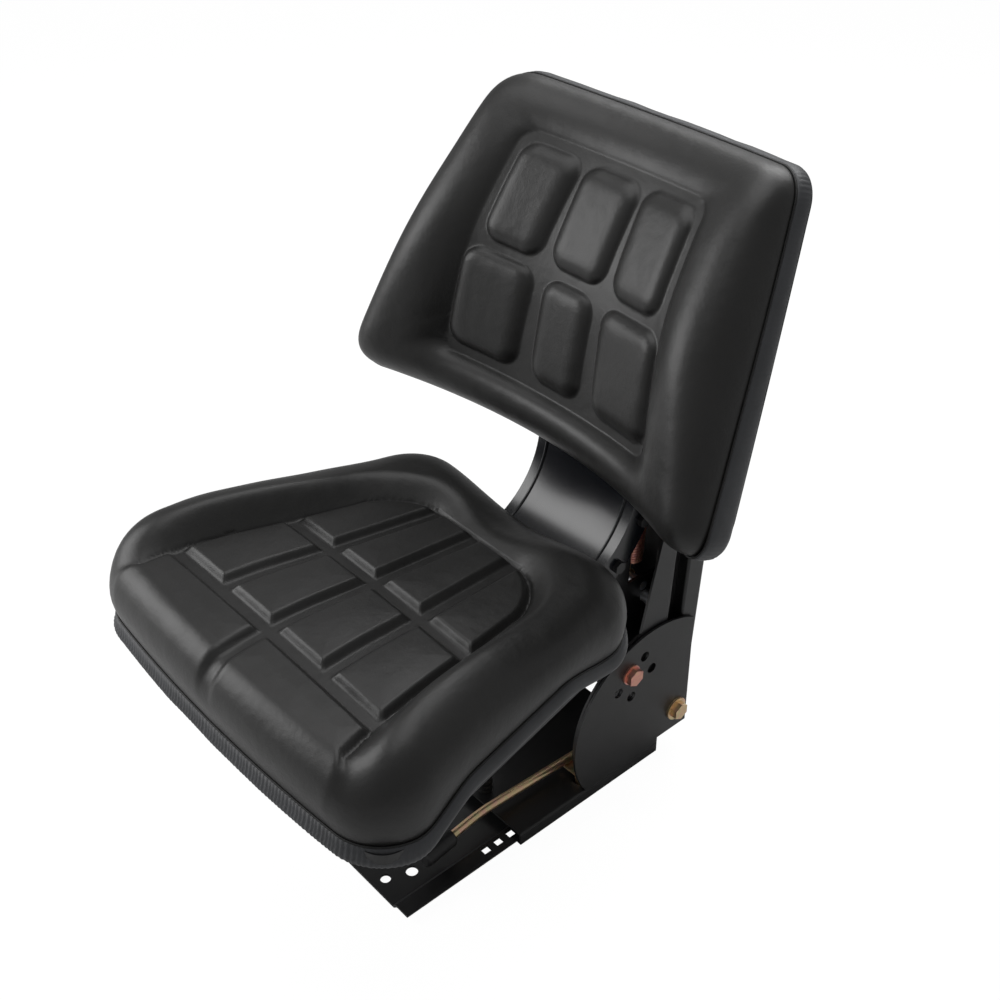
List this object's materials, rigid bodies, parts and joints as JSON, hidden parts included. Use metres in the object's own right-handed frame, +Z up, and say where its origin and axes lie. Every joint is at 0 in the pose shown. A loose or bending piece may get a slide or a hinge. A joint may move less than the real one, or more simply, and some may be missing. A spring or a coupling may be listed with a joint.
{
  "type": "tractor suspension seat",
  "caption": "Sprung vehicle seat with quilted cushion and curved backrest on a bracket, carried by a folded steel roller column on a latching slide bed.",
  "frame": {"origin": "centre of the slide bed's bolt patterns, on its mounting face", "axes": "X across the seat, +X to the sitter's left; the seat faces -Y; Z up from the mounting face"},
  "size_m": [0.5088, 0.6004, 0.7526],
  "materials": {
    "black_steel": "satin",
    "black_gloss_steel": "semi-gloss",
    "yellow_zinc": "satin",
    "copper_zinc": "satin",
    "bright_zinc": "satin",
    "black_rubber": "matte",
    "black_plastic": "satin",
    "white_nylon": "matte",
    "grey_nylon": "matte",
    "black_vinyl": "satin grain",
    "trim_vinyl": "satin",
    "damper_grey": "satin"
  },
  "bodies": {
    "base": {"slide_bed": "black_steel"},
    "carriage": {"slide_carriage": "black_steel", "glide_pads": "white_nylon", "pivot_bolts": "yellow_zinc", "pivot_washers": "yellow_zinc", "pivot_nuts": "yellow_zinc", "lock_bolts": "copper_zinc", "lock_nuts": "copper_zinc", "front_buffers": "black_rubber", "latch_bracket": "black_steel", "latch_pin": "bright_zinc", "latch_spring": "bright_zinc"},
    "latch": {"latch_lever": "yellow_zinc", "latch_plate": "yellow_zinc", "lever_grip": "black_plastic"},
    "tower": {"column": "black_steel", "column_foot": "black_steel", "damper_pin": "bright_zinc", "top_bridge": "black_steel", "upper_stops": "black_rubber", "lower_stops": "black_rubber", "damper_cylinder": "damper_grey", "spring_left": "copper_zinc", "spring_right": "copper_zinc", "thrust_washer": "bright_zinc"},
    "adjuster": {"adjuster_screw": "bright_zinc", "adjuster_knob": "black_plastic"},
    "beam": {"spring_beam": "black_steel"},
    "roller_ul": {"roller_upper_left": "grey_nylon"},
    "roller_ur": {"roller_upper_right": "grey_nylon"},
    "roller_ll": {"roller_lower_left": "grey_nylon"},
    "roller_lr": {"roller_lower_right": "grey_nylon"},
    "seat": {"roller_plate_left": "black_steel", "roller_plate_right": "black_steel", "cross_bar": "bright_zinc", "anchor_bar": "bright_zinc", "damper_rod": "bright_zinc", "damper_bush": "black_rubber", "roller_axles": "bright_zinc", "axle_clips": "bright_zinc", "frame_bolts": "black_steel", "frame_nuts": "black_steel", "back_bracket": "black_gloss_steel", "seat_pan": "black_steel", "seat_trim": "trim_vinyl", "seat_cushion": "black_vinyl", "seat_isolators": "black_rubber", "seat_bolts": "bright_zinc", "seat_washers": "bright_zinc", "back_pan": "black_steel", "back_trim": "trim_vinyl", "back_cushion": "black_vinyl", "back_spacers": "black_steel", "back_bolts": "bright_zinc", "back_washers": "bright_zinc"}
  },
  "joints": [
    {"name": "fore_aft_slide", "type": "slide", "parent": "base", "child": "carriage", "axis": [0, -1, 0], "range_m": [0, 0.144]},
    {"name": "latch_lift", "type": "hinge", "parent": "carriage", "child": "latch", "pos_m": [0.065, 0.122, 0.032], "axis": [-1, 0, 0], "range_deg": [-3, 8], "stiffness_Nm_per_rad": 1.5, "springref_deg": -17.19},
    {"name": "back_angle", "type": "hinge", "parent": "carriage", "child": "tower", "pos_m": [0, 0.217, 0.054], "axis": [1, 0, 0], "range_deg": [-11, 11]},
    {"name": "suspension", "type": "slide", "parent": "tower", "child": "seat", "axis": [0, 0.0698, 0.9976], "range_m": [-0.09, 0], "stiffness_N_per_m": 8000, "springref_m": 0.02, "deforming": ["spring_left", "spring_right"]},
    {"name": "weight_knob", "type": "hinge", "parent": "tower", "child": "adjuster", "pos_m": [0, 0.22917, 0.39999], "axis": [0, -0.0698, -0.9976], "range_deg": [0, 1622]},
    {"name": "beam_slide", "type": "slide", "parent": "tower", "child": "beam", "axis": [0, 0.0698, 0.9976], "range_m": [0, 0.018], "deforming": ["spring_left", "spring_right"]},
    {"name": "roller_ul_spin", "type": "hinge", "parent": "seat", "child": "roller_ul", "pos_m": [0, 0.24289, 0.33388], "axis": [1, 0, 0], "range_deg": [-470, 0]},
    {"name": "roller_ur_spin", "type": "hinge", "parent": "seat", "child": "roller_ur", "pos_m": [0, 0.24289, 0.33388], "axis": [1, 0, 0], "range_deg": [-470, 0]},
    {"name": "roller_ll_spin", "type": "hinge", "parent": "seat", "child": "roller_ll", "pos_m": [0, 0.18474, 0.22767], "axis": [1, 0, 0], "range_deg": [0, 470]},
    {"name": "roller_lr_spin", "type": "hinge", "parent": "seat", "child": "roller_lr", "pos_m": [0, 0.18474, 0.22767], "axis": [1, 0, 0], "range_deg": [0, 470]}
  ],
  "couplings": [
    {"joint": "weight_knob", "follows": "beam_slide", "rad_per_m": 1570.8},
    {"joint": "roller_ul_spin", "follows": "suspension", "rad_per_m": 90.909},
    {"joint": "roller_ur_spin", "follows": "suspension", "rad_per_m": 90.909},
    {"joint": "roller_ll_spin", "follows": "suspension", "rad_per_m": -90.909},
    {"joint": "roller_lr_spin", "follows": "suspension", "rad_per_m": -90.909}
  ]
}
